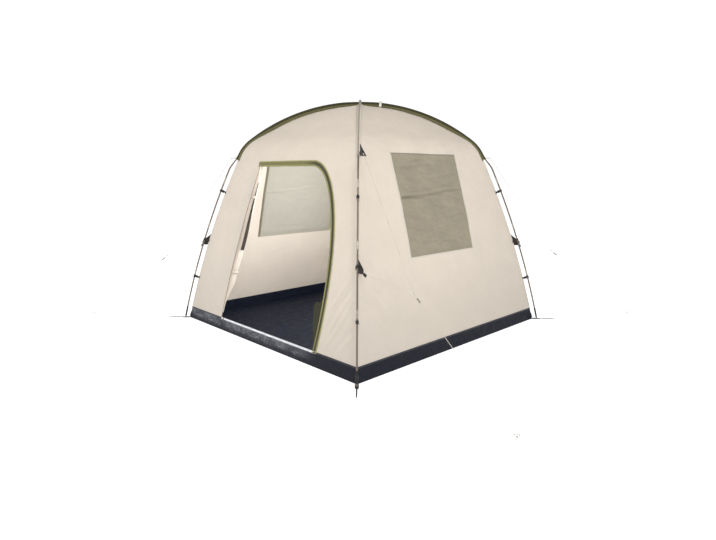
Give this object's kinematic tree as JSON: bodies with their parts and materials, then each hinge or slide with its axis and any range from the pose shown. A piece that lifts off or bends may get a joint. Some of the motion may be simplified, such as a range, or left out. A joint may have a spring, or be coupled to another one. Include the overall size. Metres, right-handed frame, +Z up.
{
  "type": "dome tent",
  "caption": "Square family dome tent of cream cloth on two crossed outside poles, with a tray groundsheet, a zipped doorway rolled open, two windows and guy lines.",
  "frame": {"origin": "on the ground, under the middle of the tent", "axes": "+Z up; the doorway faces -Y; the windows face +X and -X"},
  "size_m": [4.52, 4.0717, 2.1618],
  "materials": {
    "cream_cloth": "coated woven polyester, matt",
    "olive_tape": "woven tape and sleeve cloth, matt",
    "greige_cloth": "coated woven sleeve cloth, matt",
    "navy_sheet": "coated woven polyethylene, slight sheen",
    "taupe_curtain": "woven polyester, matt",
    "bronze_pole": "pultruded glass-fibre tube, satin",
    "steel": "zinc-plated steel",
    "dark_webbing": "moulded nylon",
    "guy_cord": "braided cord"
  },
  "bodies": {
    "tent": {"groundsheet": "navy_sheet", "door_wall": "cream_cloth", "right_wall": "cream_cloth", "left_wall": "cream_cloth", "rear_wall": "cream_cloth", "roof_front": "cream_cloth", "roof_right": "cream_cloth", "roof_rear": "cream_cloth", "roof_left": "cream_cloth", "window_right": "taupe_curtain", "window_left": "taupe_curtain", "sleeve_olive": "olive_tape", "sleeve_front_right": "greige_cloth", "sleeve_rear_left": "greige_cloth", "pole_arc_under": "bronze_pole", "pole_arc_over": "bronze_pole", "pole_leg_front_left": "bronze_pole", "pole_foot_front_left": "steel", "corner_peg_front_left": "steel", "clip_front_left_low": "dark_webbing", "clip_front_left_mid": "dark_webbing", "clip_front_left_high": "dark_webbing", "pole_leg_front_right": "bronze_pole", "pole_foot_front_right": "steel", "corner_peg_front_right": "steel", "clip_front_right_low": "dark_webbing", "clip_front_right_mid": "dark_webbing", "clip_front_right_high": "dark_webbing", "pole_leg_rear_right": "bronze_pole", "pole_foot_rear_right": "steel", "corner_peg_rear_right": "steel", "clip_rear_right_low": "dark_webbing", "clip_rear_right_mid": "dark_webbing", "clip_rear_right_high": "dark_webbing", "pole_leg_rear_left": "bronze_pole", "pole_foot_rear_left": "steel", "corner_peg_rear_left": "steel", "clip_rear_left_low": "dark_webbing", "clip_rear_left_mid": "dark_webbing", "clip_rear_left_high": "dark_webbing", "door_zip": "olive_tape", "door_roll": "cream_cloth", "roll_tie_top": "olive_tape", "roll_tie_low": "olive_tape", "bridle_front_left": "guy_cord", "guy_line_front_left": "guy_cord", "guy_peg_front_left": "steel", "bridle_front_right": "guy_cord", "guy_line_front_right": "guy_cord", "guy_peg_front_right": "steel", "bridle_rear_right": "guy_cord", "guy_line_rear_right": "guy_cord", "guy_peg_rear_right": "steel"},
    "runner_front_left": {"runner_front_left": "dark_webbing"},
    "runner_front_right": {"runner_front_right": "dark_webbing"},
    "runner_rear_right": {"runner_rear_right": "dark_webbing"},
    "zip_slider_top": {"zip_slider_top": "steel"},
    "zip_slider_sill": {"zip_slider_sill": "steel"},
    "zip_pull_top": {"zip_pull_top": "olive_tape"},
    "zip_pull_sill": {"zip_pull_sill": "olive_tape"}
  },
  "joints": [
    {"name": "runner_slide_front_left", "type": "slide", "parent": "tent", "child": "runner_front_left", "axis": [-0.5895, -0.5418, -0.5991], "range_m": [0, 0.25]},
    {"name": "runner_slide_front_right", "type": "slide", "parent": "tent", "child": "runner_front_right", "axis": [0.7798, -0.0822, -0.6206], "range_m": [0, 0.25]},
    {"name": "runner_slide_rear_right", "type": "slide", "parent": "tent", "child": "runner_rear_right", "axis": [0.4932, 0.6195, -0.6108], "range_m": [0, 0.25]},
    {"name": "top_zip", "type": "slide", "parent": "tent", "child": "zip_slider_top", "axis": [1, 0, 0], "range_m": [0, 0.66]},
    {"name": "sill_zip", "type": "slide", "parent": "tent", "child": "zip_slider_sill", "axis": [1, 0, 0], "range_m": [0, 1.29]},
    {"name": "top_pull_swing", "type": "hinge", "parent": "zip_slider_top", "child": "zip_pull_top", "pos_m": [-0.4, -0.87998, 1.53893], "axis": [-1, 0, 0], "range_deg": [0, 150]},
    {"name": "sill_pull_swing", "type": "hinge", "parent": "zip_slider_sill", "child": "zip_pull_sill", "pos_m": [-0.6, -1.23932, 0.11569], "axis": [-1, 0, 0], "range_deg": [0, 150]}
  ]
}
